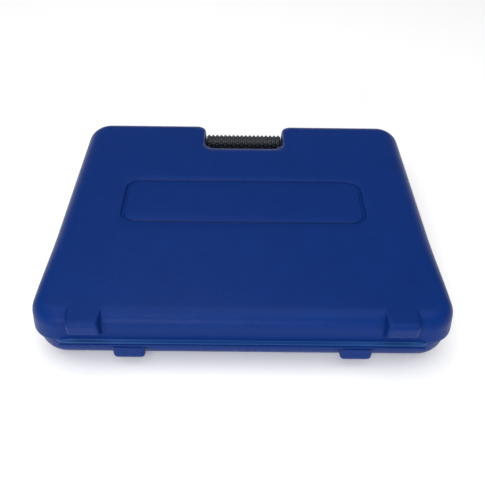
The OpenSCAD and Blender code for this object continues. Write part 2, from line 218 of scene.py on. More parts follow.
def principled(name, color, roughness, **sockets):
    """A new material, its Principled shader with even values, and the object's own coordinates."""
    m = bpy.data.materials.new(name)
    m.use_nodes = True
    shader = m.node_tree.nodes["Principled BSDF"]
    shader.inputs["Base Color"].default_value = (*color, 1)
    shader.inputs["Roughness"].default_value = roughness
    for key, value in sockets.items():
        shader.inputs[key.replace("_", " ")].default_value = value
    return m, shader, add(m, "TexCoord").outputs["Object"]


def add(m, kind, **settings):
    """Adds a shader node, and sets its properties, or else its sockets, by name."""
    node = m.node_tree.nodes.new("ShaderNode" + kind)
    for key, value in settings.items():
        if hasattr(node, key):
            setattr(node, key, value)
        else:
            node.inputs[key.replace("_", " ")].default_value = value
    return node


def link(m, a, b):
    m.node_tree.links.new(a, b)


def texture(m, at, kind, output="Fac", **settings):
    """One output of a texture node that reads the given coordinates."""
    node = add(m, "Tex" + kind, **settings)
    link(m, at, node.inputs["Vector"])
    return node.outputs[output]


def stretched(m, at, *scale):
    """Coordinates scaled along each axis."""
    node = add(m, "Mapping", Scale=scale)
    link(m, at, node.inputs["Vector"])
    return node.outputs["Vector"]


def axis(m, at, name):
    """One of the coordinates."""
    node = add(m, "SeparateXYZ")
    link(m, at, node.inputs[0])
    return node.outputs[name]


def calc(m, operation, *values):
    """The result of a maths node that is fed with sockets or plain numbers."""
    node = add(m, "Math", operation=operation)
    for slot, value in zip(node.inputs, values):
        if isinstance(value, float):
            slot.default_value = value
        else:
            link(m, value, slot)
    return node.outputs[0]


def mixed(m, factor, a, b):
    """Colour a, which gives way to the even colour b as the factor grows."""
    node = add(m, "Mix", data_type="RGBA")
    link(m, factor, node.inputs["Factor"])
    link(m, a, node.inputs["A"])
    node.inputs["B"].default_value = (*b, 1)
    return node.outputs["Result"]


def ramp(m, source, stops):
    """A colour ramp through (position, colour) stops."""
    node = add(m, "ValToRGB")
    elements = node.color_ramp.elements
    while len(elements) < len(stops):
        elements.new(0.5)
    for element, (position, color) in zip(elements, stops):
        element.position = position
        element.color = (*color, 1)
    link(m, source, node.inputs["Fac"])
    return node.outputs["Color"]


def span(m, source, low, high, to_low, to_high):
    """A value carried from one range to another."""
    node = add(m, "MapRange", From_Min=low, From_Max=high, To_Min=to_low, To_Max=to_high)
    link(m, source, node.inputs["Value"])
    return node.outputs["Result"]


def tint(m, shader, source, stops):
    """Colours a shader by a ramp."""
    link(m, ramp(m, source, stops), shader.inputs["Base Color"])


def gloss(m, shader, source, low, high, rough_low, rough_high):
    """Varies a shader's roughness."""
    link(m, span(m, source, low, high, rough_low, rough_high), shader.inputs["Roughness"])


def bump(m, shader, source, strength, distance, before=None):
    """Adds a bump to a shader, after an earlier bump if there is one."""
    node = add(m, "Bump", Strength=strength, Distance=distance)
    link(m, source, node.inputs["Height"])
    if before is not None:
        link(m, before, node.inputs["Normal"])
    link(m, node.outputs["Normal"], shader.inputs["Normal"])
    return node.outputs["Normal"]


# ---------------------------------------------------------------- materials


def moulded(name, color, roughness, grain=0.5 * MM, depth=0.05 * MM, vary=0.12, **sockets):
    """Moulded plastic: a pebble grain, a faint mottle of colour and gloss, soft flow marks, and
    painted shade that darkens its hollows."""
    m, shader, at = principled(name, color, roughness, **sockets)
    dark, light = (tuple(min(1, c * (1 + way * vary)) for c in color) for way in (-1, 1))
    mottle = texture(m, at, "Noise", Scale=1 / (38 * MM), Detail=4.0, Roughness=0.6)
    surface = ramp(m, mottle, [(0.3, dark), (0.7, light)])
    # Painted shade: ambient occlusion darkens the colour towards a quarter of itself in hollows and
    # creases.
    occlusion = add(m, "AmbientOcclusion", samples=6, only_local=True, Distance=6 * MM).outputs["AO"]
    crease_shade = tuple(c * 0.25 for c in color)
    link(m, mixed(m, span(m, occlusion, 0.45, 0.95, 0.45, 0), surface, crease_shade), shader.inputs["Base Color"])
    scuff = texture(m, at, "Noise", Scale=1 / (9 * MM), Detail=6.0, Roughness=0.7)
    gloss(m, shader, scuff, 0.3, 0.75, roughness - 0.05, roughness + 0.07)
    pebble = texture(m, at, "Voronoi", "Distance", Scale=1 / grain)
    flow = texture(m, at, "Noise", Scale=1 / (24 * MM), Detail=2.0)
    bump(m, shader, flow, 0.35, 0.6 * MM, before=bump(m, shader, pebble, 0.5, depth))
    return m


def hinge_material():
    """The flexed strip: paler than the case's blue as painted light on its lit top, and paler still
    towards its ends, partly scuffs and partly a painted highlight, with whitened flow lines along the fold.
    """
    m, shader, at = principled("flexed_blue_polyethylene", (0.01, 0.05, 0.23), 0.4,
                               Specular_IOR_Level=0.15)
    lines = texture(m, stretched(m, at, 40, 900, 900), "Noise", Scale=1.0, Detail=5.0, Roughness=0.65)
    # Painted highlight, partly scuffing: the strip grows paler towards its ends.
    end_highlight_and_scuff = span(m, calc(m, "ABSOLUTE", axis(m, at, "X")), 0.06, 0.155, -0.1, 0.45)
    # Both ramp colours are paler than the case's blue: painted light on the strip's lit top.
    tint(m, shader, calc(m, "MULTIPLY_ADD", lines, 0.35, end_highlight_and_scuff),
         [(0.1, (0.005, 0.048, 0.21)), (0.6, (0.022, 0.086, 0.285))])
    bump(m, shader, lines, 0.4, 0.15 * MM)
    return m


def foam_material():
    """Charcoal open-cell foam: two sizes of cell with painted shade inside them, and a felted mottle."""
    m, shader, at = principled("charcoal_foam", (0.03, 0.031, 0.034), 0.95, Specular_IOR_Level=0.2)
    cells = texture(m, at, "Voronoi", "Distance", Scale=1 / (0.9 * MM))
    fine = texture(m, at, "Voronoi", "Distance", Scale=1 / (0.4 * MM))
    both = calc(m, "MULTIPLY_ADD", fine, 0.5, cells)
    patch = texture(m, at, "Noise", Scale=1 / (22 * MM), Detail=5.0)
    # Painted shade: the colour darkens towards each cell's middle, where the bump sinks it into a pit.
    tint(m, shader, calc(m, "MULTIPLY_ADD", patch, 0.5, both),
         [(0.3, (0.012, 0.0125, 0.014)), (1.0, (0.062, 0.064, 0.07))])
    bump(m, shader, both, 0.8, 0.4 * MM)
    return m


def grip_material():
    """Soft grip rubber with a fine grain, and painted shade: darker low down, paler over its upper half."""
    m, shader, at = principled("ribbed_grip_rubber", (0.012, 0.013, 0.02), 0.4, Specular_IOR_Level=0.55)
    dust = texture(m, at, "Noise", Scale=1 / (5 * MM), Detail=6.0, Roughness=0.7)
    # Painted shade: the colour grows paler from low on the grip up to its upper half.
    painted_shade_up = span(m, axis(m, at, "Z"), GRIP_SHADE_LOW, GRIP_SHADE_HIGH, 0, 0.7)
    tint(m, shader, calc(m, "MULTIPLY_ADD", dust, 0.3, painted_shade_up),
         [(0.1, (0.002, 0.002, 0.006)), (0.9, (0.014, 0.016, 0.024))])
    gloss(m, shader, dust, 0.3, 0.7, 0.32, 0.5)
    grain = texture(m, at, "Noise", Scale=1 / (0.35 * MM), Detail=3.0)
    bump(m, shader, grain, 0.5, 0.08 * MM)
    return m


def metal(name, color, roughness):
    """Drawn metal: fine lines along X and a little uneven gloss."""
    m, shader, at = principled(name, color, roughness, Metallic=1.0)
    lines = texture(m, stretched(m, at, 120, 7200, 7200), "Noise", Scale=1.0, Detail=6.0)
    gloss(m, shader, lines, 0.3, 0.7, roughness - 0.08, roughness + 0.12)
    tint(m, shader, lines, [(0.3, tuple(c * 0.85 for c in color)), (0.7, color)])
    bump(m, shader, lines, 0.2, 0.05 * MM)
    return m


def board_material():
    """Solder mask over copper traces, with tinned pads."""
    m, shader, at = principled("green_solder_mask", (0.01, 0.1, 0.03), 0.3)
    traces = texture(m, at, "Brick", "Color", Scale=1 / (6 * MM), Mortar_Size=0.03,
                     Color1=(0.008, 0.085, 0.028, 1), Color2=(0.010, 0.105, 0.034, 1),
                     Mortar=(0.03, 0.2, 0.06, 1))
    pads = texture(m, at, "Voronoi", "Distance", Scale=1 / (3 * MM))
    on_pad = ramp(m, pads, [(0.1, (1, 1, 1)), (0.14, (0, 0, 0))])
    link(m, mixed(m, on_pad, traces, (0.6, 0.6, 0.58)), shader.inputs["Base Color"])
    bump(m, shader, traces.node.outputs["Fac"], 0.3, 0.05 * MM)
    return m


def winding_material():
    """Layers of enamelled wire laid side by side."""
    m, shader, at = principled("enamelled_copper_wire", (0.5, 0.16, 0.04), 0.3, Metallic=0.9)
    tint(m, shader, texture(m, at, "Noise", Scale=1 / (6 * MM), Detail=4.0),
         [(0.3, (0.36, 0.1, 0.025)), (0.7, (0.6, 0.22, 0.06))])
    wires = texture(m, at, "Wave", Scale=1 / (1.6 * MM), bands_direction="Z")
    bump(m, shader, wires, 0.7, 0.2 * MM)
    return m


def display_material():
    """A liquid crystal panel that is switched off: a dark frame and a faint grid of dots."""
    lo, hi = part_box("display_module")
    m, shader, at = principled("liquid_crystal_panel", (0.1, 0.13, 0.09), 0.25)
    borders = []
    for k, inset in ((0, 3.2 * MM), (1, 3.4 * MM)):
        half = (hi[k] - lo[k]) / 2 - inset
        off_middle = calc(m, "ABSOLUTE", calc(m, "SUBTRACT", axis(m, at, "XY"[k]), (lo[k] + hi[k]) / 2))
        borders.append(span(m, off_middle, half - 0.1 * MM, half + 0.1 * MM, 0, 1))
    dots = texture(m, at, "Checker", "Color", Scale=1 / (0.35 * MM), Color1=(0.17, 0.205, 0.14, 1),
                   Color2=(0.20, 0.24, 0.165, 1))
    panel = mixed(m, calc(m, "MAXIMUM", *borders), dots, (0.012, 0.013, 0.014))
    link(m, panel, shader.inputs["Base Color"])
    return m


def lens_material():
    """A clear window with the slightest haze."""
    m, shader, at = principled("clear_acrylic", (0.93, 0.96, 0.96), 0.06, Transmission_Weight=1.0,
                               IOR=1.49)
    haze = texture(m, at, "Noise", Scale=1 / (4 * MM), Detail=5.0)
    gloss(m, shader, haze, 0.35, 0.75, 0.03, 0.12)
    return m


def sleeve_material():
    """A shrink sleeve: green with a copper-coloured band at one end and fine seams."""
    lo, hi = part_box("battery_cells")
    m, shader, at = principled("shrink_sleeve", (0.02, 0.15, 0.06), 0.3)
    copper = (0.45, 0.2, 0.07)
    tint(m, shader, span(m, axis(m, at, "X"), lo.x, hi.x, 0, 1),
         [(0.0, copper), (0.24, copper), (0.25, (0.02, 0.15, 0.06)), (1.0, (0.022, 0.17, 0.07))])
    folds = texture(m, at, "Noise", Scale=1 / (2.5 * MM), Detail=4.0)
    gloss(m, shader, folds, 0.3, 0.7, 0.25, 0.4)
    bump(m, shader, folds, 0.2, 0.1 * MM)
    return m


BLUE = moulded("case_blue_polyethylene", (0.003, 0.0262, 0.166), 0.34, grain=1.5 * MM,
               depth=0.3 * MM, vary=0.05, Specular_IOR_Level=0.08)
BLACK = moulded("black_polypropylene", (0.016, 0.017, 0.02), 0.5, grain=0.35 * MM)
GREY = moulded("light_grey_abs", (0.50, 0.52, 0.54), 0.42, grain=0.3 * MM, depth=0.02 * MM, vary=0.03)
TEAL = moulded("teal_abs", (0.012, 0.12, 0.15), 0.4, grain=0.3 * MM, depth=0.02 * MM, vary=0.06)
NYLON = moulded("natural_nylon", (0.68, 0.65, 0.55), 0.45, depth=0.01 * MM, vary=0.04)
ORANGE = moulded("orange_silicone", (0.62, 0.085, 0.012), 0.5, grain=0.25 * MM, depth=0.02 * MM, vary=0.05)
DARK_KEY = moulded("dark_silicone", (0.02, 0.021, 0.024), 0.5, grain=0.25 * MM, depth=0.02 * MM, vary=0.08)
CHIP = moulded("black_epoxy", (0.012, 0.012, 0.013), 0.45, grain=0.2 * MM, depth=0.01 * MM)
LED = moulded("green_light_pipe", (0.08, 0.5, 0.16), 0.2, grain=0.4 * MM, depth=0.01 * MM,
              Transmission_Weight=0.4)
HINGE_BLUE = hinge_material()
FOAM = foam_material()
GRIP = grip_material()
STEEL = metal("drawn_steel", (0.55, 0.56, 0.58), 0.32)
NICKEL = metal("nickel_plate", (0.66, 0.65, 0.62), 0.25)

# ---------------------------------------------------------------- the case's outline and skins

ARC_STEPS = 14
NOTCH_STEPS = 10
FRONT_PITCH = 4 * MM
FOOT_SIDE = 1.8 * MM
FOOT_CORNER_R = 4 * MM
FOOT_CORNER = 0.45


def front_stations():
    """Places along the front edge, close together at the sides of the feet."""
    half = CASE_W / 2 - CORNER_R
    xs = set(np.round(np.linspace(-half, half, int(2 * half / FRONT_PITCH)), 6))
    for foot in (LID_FOOT_X, BASE_FOOT_X):
        for side in (-1, 1):
            edge = foot + side * FOOT_W / 2
            near = np.linspace(edge - FOOT_CORNER_R, edge + FOOT_CORNER_R, 17)
            xs |= set(np.round(near, 6)) | set(np.round(-near, 6))
    xs = sorted(x for x in xs if abs(x) < half - 1e-5)
    kept = [xs[0]]
    for x in xs[1:]:
        if x - kept[-1] > 0.25 * MM:
            kept.append(x)
    return np.array(kept)


FRONT_X = front_stations()


def between(a, b, n):
    """n points strictly between a and b."""
    t = np.linspace(0, 1, n + 2)[1:-1, None]
    return np.array(a) * (1 - t) + np.array(b) * t


def outline(e, en, inner_r=INNER_R):
    """The case's outline with its outer walls moved in by e and its notch walls by en. It
    starts with the front edge, whose points are FRONT_X."""
    x, y, r = CASE_W / 2 - CORNER_R, BACK_Y - CORNER_R, CORNER_R - e
    mx, my = NOTCH_W / 2 + en + MOUTH_R, BACK_Y - e - MOUTH_R
    ix, iy = NOTCH_W / 2 + en - inner_r, BACK_Y - NOTCH_D - en + inner_r
    front = np.stack([FRONT_X, np.full_like(FRONT_X, -BACK_Y + e)], -1)
    corner = arc(x, -y, r, -90, 0, ARC_STEPS)
    far = arc(x, y, r, 0, 90, ARC_STEPS)
    mouth = arc(mx, my, MOUTH_R, 90, 180, NOTCH_STEPS)
    inner = arc(ix, iy, inner_r, 0, -90, NOTCH_STEPS)
    right = np.concatenate([
        corner, between(corner[-1], far[0], 60), far, between(far[-1], mouth[0], 24), mouth,
        between(mouth[-1], inner[0], 6), inner])
    left = right[::-1] * (-1, 1)
    middle = between(right[-1], left[0], 18)
    return np.concatenate([front, right, middle, left])


def wall_profile(top, r, start, low, seam_r, wall_n=6, arc_n=16, finger_r=FINGER_EDGE_R):
    """(inset, inset of the notch's sides, inset of its end, height) up a wall, from the seam to
    the large face. An outer wall rounds in by seam_r at the seam."""
    seam_a = np.linspace(0, math.pi / 2, 6)
    rise = SEAM_RISE if seam_r else 0

    def inset(h, radius, draft=DRAFT):
        hc = top - radius
        on_wall = start + np.minimum(h, hc) * math.tan(draft)
        over = np.clip(h - hc, 0, radius)
        return on_wall + np.where(h > hc, radius - np.sqrt(np.maximum(0, radius ** 2 - over ** 2)), 0)

    a = np.linspace(0, math.pi / 2, arc_n + 1)[1:]
    heights = np.concatenate([
        low + rise * (1 - np.cos(seam_a)) if seam_r else [low],
        np.linspace(low + rise, top - r, wall_n + 1)[1:], top - r + r * np.sin(a)])
    roll = np.zeros_like(heights)
    if seam_r:
        roll[:len(seam_a)] = seam_r * (1 - np.sin(seam_a))
    sides = inset(heights, min(r, NOTCH_EDGE_R), NOTCH_DRAFT)
    end = inset(heights, min(top, finger_r))
    return np.stack([inset(heights, r) + roll, sides + roll, end + roll, heights], -1)


def along(points, n):
    """n points spread evenly along a path."""
    points = np.array(points, float)
    step = np.linalg.norm(np.diff(points, axis=0), axis=1)
    at = np.concatenate([[0], np.cumsum(step)])
    want = np.linspace(0, at[-1], n)
    return np.stack([np.interp(want, at, points[:, k]) for k in range(points.shape[1])], -1)


def corner(a, b, c, r):
    """The ways out of a path's corner b to a and to c, half the angle between them, and how far
    along them a rounding of radius r reaches."""
    sides = [np.linalg.norm(q - b) for q in (a, c)]
    u, w = (a - b) / sides[0], (c - b) / sides[1]
    half = math.acos(np.clip(u @ w, -1, 1)) / 2
    return u, w, half, min(r / math.tan(half), 0.49 * sides[0], 0.49 * sides[1])


def rounded_path(points, radii, steps=6):
    """A path with its corners rounded."""
    out = [np.array(points[0], float)]
    for k in range(1, len(points) - 1):
        a, b, c = (np.array(points[k + i], float) for i in (-1, 0, 1))
        u, w, _, reach = corner(a, b, c, radii[k])
        p, q = b + u * reach, b + w * reach
        for t in np.linspace(0, 1, steps + 1):
            out.append((1 - t) ** 2 * p + 2 * t * (1 - t) * b + t * t * q)
    out.append(np.array(points[-1], float))
    return np.array(out)


def foot_profile(standard, h0, h1, flush):
    """The wall's profile where a foot stands out, from height h0 to h1 above the seam. A flush
    foot runs into the large face."""
    n = len(standard)
    wall = standard[:, [0, 3]]
    top_e, top_h = wall[-1]
    low_part = [p for p in wall if p[1] < h0 - 1.5 * MM] or [wall[0]]
    front = -FOOT_REACH
    lean = 0.6 * MM
    if flush:
        corner = [(low_part[-1][0], h0 - 0.5 * MM), (front + lean, h0 + 0.3 * MM), (front, top_h),
                  (top_e, top_h)]
        path = rounded_path([low_part[-1], *corner], [0, 2 * MM, 1.8 * MM, 4.2 * MM, 0], steps=9)
        return along(np.concatenate([low_part, path[1:]]), n)
    high_part = [p for p in wall if p[1] > h1 + 2 * MM]
    corner = [(0.2 * MM, h0), (front + lean, h0), (front, h1 - 0.4 * MM),
              (high_part[0][0], h1 + 0.6 * MM)]
    path = rounded_path([low_part[-1], *corner, high_part[0]], [0, 1 * MM, 1 * MM, 3 * MM, 1.5 * MM, 0])
    return along(np.concatenate([low_part[:-1], path, high_part[1:]]), n)


def notched(e, side, end):
    """The outline with its outer walls moved in by e, the notch's sides by side and its end by
    end. Each may be one value or a column with one value for each point. The notch's inner
    corners open out as its end leans back."""
    inner_r = INNER_R + CORNER_OPENING * float(np.max(end - side))
    start = outline(0, 0, inner_r)
    per_e, per_n = (outline(MM, 0, inner_r) - start) / MM, (outline(0, MM, inner_r) - start) / MM
    return start + e * per_e + np.concatenate([side * per_n[:, :1], end * per_n[:, 1:]], 1)


def skin(build, front_r, foot_x, foot_h, flush, cover):
    """One half's outer skin, in half coordinates: the seam at z = 0 and the large face up. The
    walls round over at front_r on the hinge side and at EDGE_R further back. cover(build, ring)
    closes the large face."""
    low = SEAM_GAP / 2
    start = outline(0, 0)
    radii = front_r + (EDGE_R - front_r) * smooth((start[:, 1] + BACK_Y - CORNER_R) / (90 * MM))
    profile = np.array([wall_profile(HALF_H, r, 0, low, SEAM_R) for r in radii])
    foot = foot_profile(profile[0], *foot_h, flush)
    n_front = len(FRONT_X)
    inside_foot = FOOT_W / 2 - abs(abs(FRONT_X) - foot_x)
    shy = 1 - np.clip(inside_foot / FOOT_CORNER_R, 0, 1)
    share = smooth(0.5 + inside_foot / FOOT_SIDE) * (1 - FOOT_CORNER * (1 - np.sqrt(1 - shy ** 2)))
    rings = []
    for k in range(profile.shape[1]):
        e, side, end, h = (profile[:, k, i:i + 1] for i in range(4))
        points = np.concatenate([notched(e, side, end), h], 1)
        points[:n_front, 1] += share * (foot[k][0] - e[:n_front, 0])
        points[:n_front, 2] += share * (foot[k][1] - h[:n_front, 0])
        rings.append(points)
    ids = build.rings([[tuple(p) for p in r] for r in rings])
    cover(build, ids[-1])
    inner = wall_profile(HALF_H - SKIN_T, EDGE_R - SKIN_T, SKIN_T, low, 0, wall_n=3, arc_n=8,
                         finger_r=FINGER_EDGE_R - SKIN_T)
    inner_rings = [[(x, y, h) for x, y in notched(e, side, end)] for e, side, end, h in inner]
    inner_ids = build.rings(inner_rings)
    build.bridge(ids[0], inner_ids[0])
    build.fill(inner_ids[-1])


# The large faces, and the label recess on the lid
COVER_PITCH = 9 * MM
COVER_GAP = 8 * MM
LABEL_W = 253.5 * MM
LABEL_D = 71 * MM
LABEL_R = 16 * MM
LABEL_Y = 1.5 * MM
LABEL_CREASE = 2.6 * MM
LABEL_GROOVE = 5 * MM
LABEL_SINK = 0.3


def rounded_rectangle(w, d, r, cy=0.0, cx=0.0, steps=8, side=24):
    """A closed outline with the same number of points at any size."""
    x, y = w / 2 - r, d / 2 - r
    corners = [arc(cx + x, cy - y, r, -90, 0, steps), arc(cx + x, cy + y, r, 0, 90, steps),
               arc(cx - x, cy + y, r, 90, 180, steps), arc(cx - x, cy - y, r, 180, 270, steps)]
    out = []
    for k, c in enumerate(corners):
        out.append(c)
        out.append(between(c[-1], corners[(k + 1) % 4][0], side))
    return np.concatenate(out)


def warp(x, y):
    """The slight unevenness of a large blow-moulded face."""
    return 0.22 * MM * noise.noise(Vector((x * 14, y * 14, 0.3)))


def grid_points(pitch, margin, keep):
    """Points on a grid over the large face where keep(x, y) is true."""
    xs = np.arange(-CASE_W / 2 + margin, CASE_W / 2 - margin, pitch)
    ys = np.arange(-BACK_Y + margin, BACK_Y - margin, pitch)
    return [(x, y) for x in xs for y in ys if keep(x, y)]


def on_cover(x, y):
    """Whether a place on a large face is clear of the notch and its rounded edges."""
    return (abs(x) > NOTCH_W / 2 + NOTCH_EDGE_R + COVER_GAP
            or y < BACK_Y - NOTCH_D - FINGER_EDGE_R - COVER_GAP)


def plain_cover(build, ring):
    """The base's large face."""
    build.fill(ring, extra=grid_points(COVER_PITCH, EDGE_R + COVER_GAP, on_cover), height=warp)


def label_cover(build, ring):
    """The lid's large face, with the label recess."""
    z = build.v[ring[0]][2]
    rings = []
    for t in np.linspace(0, 1, 15):
        g = t * LABEL_GROOVE
        dip = 0.5 - 0.5 * math.cos(2 * math.pi * t)
        depth = LABEL_CREASE * (dip if t < 0.5 else dip + (1 - dip) * LABEL_SINK)
        shape = rounded_rectangle(LABEL_W - 2 * g, LABEL_D - 2 * g, LABEL_R - g * 0.8, LABEL_Y)
        rings.append([(x, y, z - depth) for x, y in shape])
    ids = build.rings(rings)

    def beyond(x, y, gap):
        return abs(x) > LABEL_W / 2 + gap or abs(y - LABEL_Y) > LABEL_D / 2 + gap

    margin = EDGE_R + COVER_GAP
    outer = grid_points(COVER_PITCH, margin, lambda x, y: beyond(x, y, 5 * MM) and on_cover(x, y))
    build.fill(ring, holes=[ids[0]], extra=outer, height=warp)
    inner = grid_points(COVER_PITCH, margin, lambda x, y: not beyond(x, y, -10 * MM))
    build.fill(ids[-1], extra=inner, height=warp)


def hinge_ply(build):
    """One ply of the pinched hinge strip, in half coordinates, tucked in at its two ends."""
    half = CASE_W / 2 - CORNER_R + 3 * MM
    y_in, y_out = FRONT_Y + 1 * MM, HINGE_Y + BEAD_GAP
    z0, z1 = SEAM_GAP / 2, PLY_T
    section = rounded_path([(y_in, z0), (y_out, z0), (y_out, z1 * 0.75), (y_out + 0.8 * MM, z1),
                            (y_in - 1.2 * MM, z1), (y_in, z1 + 1.2 * MM)],
                           [0, 0.2 * MM, 0.5 * MM, 0.4 * MM, 1 * MM, 0], steps=4)
    end = np.linspace(half - HINGE_TAPER, half, 11)
    xs = np.concatenate([-end[::-1], np.linspace(-end[0] + 5 * MM, end[0] - 5 * MM, 60), end])
    rings = []
    for x in xs:
        tuck = max(0, 1 - (half - abs(x)) / HINGE_TAPER)
        y_keep = y_in + (section[:, 0] - y_in) * max(1 - tuck * tuck, 0.02)
        rings.append([(x, y, z) for y, z in zip(y_keep, section[:, 1])])
    build.loft(rings)


def hinge_corner(x, y, amount):
    """A point moved along the diagonal of the nearest hinge-side corner, inwards if positive."""
    across = max(0, abs(x) - CASE_W / 2 + CORNER_REACH) / CORNER_REACH
    along_wall = max(0, -y - BACK_Y + CORNER_REACH) / CORNER_REACH
    move = amount * (across * along_wall) ** 2 * math.sqrt(0.5)
    return x - math.copysign(1, x) * move, y + move


def as_lid(build):
    """The lid's hinge-side corners are squarer at the seam than above it."""
    return [(*hinge_corner(x, y, -LID_CORNER_OUT * float(1 - smooth(z / LID_CORNER_H))), SEAM_Z + z)
            for x, y, z in build.v]


def as_base(build):
    """The base's hinge-side corners are drawn in under the lid's."""
    return [(*hinge_corner(x, y, BASE_CORNER_IN), SEAM_Z - z) for x, y, z in build.v]


HALVES = {"base": (as_base, "case_base"), "lid": (as_lid, "case_lid")}


def make_case_shells():
    """The two outer shells, and the two plies of the hinge strip between them."""
    lid = Build()
    skin(lid, LID_FRONT_R, LID_FOOT_X, (HALF_H - LID_FOOT_H, HALF_H), True, label_cover)
    latch_ears(lid)
    piece("lid_shell", lid, BLUE, "case_lid", "case_blue", "lid_outer_shell", turn=as_lid)
    base = Build()
    skin(base, EDGE_R, BASE_FOOT_X, (PLY_T + 0.4 * MM, BASE_FOOT_H), False, plain_cover)
    catch_bars_and_pegs(base)
    piece("base_shell", base, BLUE, "case_base", "case_blue", "base_outer_shell", turn=as_base)
    for half, (turn, body) in HALVES.items():
        ply = Build()
        hinge_ply(ply)
        piece(half + "_hinge_strip", ply, HINGE_BLUE, body, "hinge_blue", turn=turn)


# ---------------------------------------------------------------- outlines and lofts


def offset(points, d):
    """A closed anticlockwise outline moved inwards by d."""
    p = np.asarray(points, float)
    u = p - np.roll(p, 1, 0)
    w = np.roll(p, -1, 0) - p
    u /= np.linalg.norm(u, axis=1)[:, None]
    w /= np.linalg.norm(w, axis=1)[:, None]
    a = np.stack([-u[:, 1], u[:, 0]], -1)
    b = np.stack([-w[:, 1], w[:, 0]], -1)
    n = a + b
    n /= np.linalg.norm(n, axis=1)[:, None]
    return p + n * d / np.maximum((n * a).sum(1), 0.5)[:, None]


def loop(corners, r, steps=6):
    """A closed outline through corners, all rounded by r."""
    out = []
    n = len(corners)
    for k in range(n):
        a, b, c = (np.array(corners[(k + i) % n], float) for i in (-1, 0, 1))
        u, w, half, reach = corner(a, b, c, r)
        if half > math.radians(88):
            out.append(b)
            continue
        radius = reach * math.tan(half)
        centre = b + (u + w) / np.linalg.norm(u + w) * radius / math.sin(half)
        p, q = b + u * reach - centre, b + w * reach - centre
        a0, a1 = math.atan2(p[1], p[0]), math.atan2(q[1], q[0])
        turn = (a1 - a0 + math.pi) % (2 * math.pi) - math.pi
        out += [centre + radius * np.array([math.cos(a0 + turn * t), math.sin(a0 + turn * t)])
                for t in np.linspace(0, 1, steps + 1)]
    return np.array(out)


def circle(cx, cy, r, n=48):
    """n points on a full circle, anticlockwise."""
    return arc(cx, cy, r, 0, 360 - 360 / n, n - 1)


def at_height(points, z):
    return [(x, y, z) for x, y in points]


def rim(r, steps=4):
    """(inset, height below the top) pairs over a rounded edge, from the wall to the top."""
    return [(r * (1 - math.cos(a)), r * (1 - math.sin(a))) for a in np.linspace(0, math.pi / 2, steps + 1)]


def wall_rings(points, z0, z1, low_r, top_r):
    """Rings of an upright wall with rounded lower and upper edges."""
    rings = [at_height(offset(points, e), z0 + d) for e, d in rim(low_r)][::-1]
    return rings + [at_height(offset(points, e), z1 - d) for e, d in rim(top_r)]


def prism_x(build, section, x0, x1, r, vary=None, xs=()):
    """A bar along X with the section (y, z), anticlockwise, and rounded ends. vary(x, points)
    changes the section on the way, where xs has the places."""
    ends = rim(r)
    stations = [(x0 + d, e) for e, d in ends[::-1]] + [(x, 0) for x in xs] + [(x1 - d, e) for e, d in ends]
    rings = []
    for x, e in stations:
        points = offset(section, e) if e > 0 else np.asarray(section)
        if vary is not None:
            points = vary(x, points)
        rings.append([(x, y, z) for y, z in points])
    build.loft(rings)


def lathe_x(build, profile, y, z, n=32):
    """A turned piece about a line along X, from (x, radius) pairs."""
    build.loft([[(x, a, b) for a, b in circle(y, z, r, n)] for x, r in profile])


def lathe_z(build, profile, x, y, n=48):
    """A turned piece about an upright line, from (radius, z) pairs."""
    build.loft([at_height(circle(x, y, r, n), z) for r, z in profile])


def hull(points):
    """The anticlockwise convex outline round flat points."""
    p = sorted(map(tuple, points))

    def side(items):
        out = []
        for q in items:
            while len(out) > 1 and ((out[-1][0] - out[-2][0]) * (q[1] - out[-2][1])
                                    - (out[-1][1] - out[-2][1]) * (q[0] - out[-2][0])) <= 1e-12:
                out.pop()
            out.append(q)
        return out[:-1]

    return np.array(side(p) + side(p[::-1]))


def piece(name, build, material, body, slot, *nodes, angle=40, turn=None):
    """Makes a build into an object that takes the place of some nodes. turn(build) gives its
    vertices in the part's frame, if they are in coordinates of their own."""
    obj = make_object(name, turn(build) if turn else build.v, build.f, material, angle)
    if nodes:
        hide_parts(*nodes)
    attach(obj, body)
    return obj


# ---------------------------------------------------------------- fittings on the case

LATCH_X, PIN_Y, PIN_Z = PIVOTS["right_latch_flip"]
LATCH_W = 40 * MM
KNUCKLE_R = 2.8 * MM
GRIP_LO, GRIP_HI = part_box("handle_grip")
GRIP_Y, GRIP_Z = (GRIP_LO.y + GRIP_HI.y) / 2, (GRIP_LO.z + GRIP_HI.z) / 2
HANDLE_Y, HANDLE_Z = PIVOTS["handle_swing"][1:]
GRIP_OVERLAP = 4.25 * MM
RIBS, KNOBS = 18, 22
RIB_DEPTH = 1.5 * MM
PEG_CLEAR_Z = -11.9 * MM


def latch_ears(build):
    """Four ears on the lid, in half coordinates."""
    z = PIN_Z - SEAM_Z
    root_y = BACK_Y - 2 * MM
    section = hull([*circle(PIN_Y, z, KNUCKLE_R, 32), (root_y, z - KNUCKLE_R),
                    (root_y, z + KNUCKLE_R + 1.5 * MM)])
    reach = LATCH_W / 2 + 0.4 * MM
    for side in (-1, 1):
        for x in (side * LATCH_X - reach - 3 * MM, side * LATCH_X + reach):
            prism_x(build, section, x, x + 3 * MM, 0.5 * MM)


def catch_bars_and_pegs(build):
    """The bars that the latches catch on and the pegs under the handle, in half coordinates."""
    y, z, r = BACK_Y - 1 * MM, 6.5 * MM, 1.6 * MM
    peg_z = SEAM_Z - (GRIP_Z - 14.3 * MM)
    for side in (-1, 1):
        x0, x1 = side * LATCH_X - 17 * MM, side * LATCH_X + 17 * MM
        ends = [(r * math.sin(a), r * (1 - math.cos(a))) for a in np.linspace(0.1, math.pi / 2, 6)]
        lathe_x(build, [(x0 + d, w) for w, d in ends] + [(x1 - d, w) for w, d in ends[::-1]], y, z)
        tip, root = side * (NOTCH_W / 2 - 2.5 * MM), side * (NOTCH_W / 2 + 2.5 * MM)
        lathe_x(build, [(tip, 1.2 * MM), (tip + side * 0.3 * MM, 1.7 * MM), (tip + side * 0.8 * MM, 2 * MM),
                        (root, 2 * MM)], GRIP_Y, peg_z)


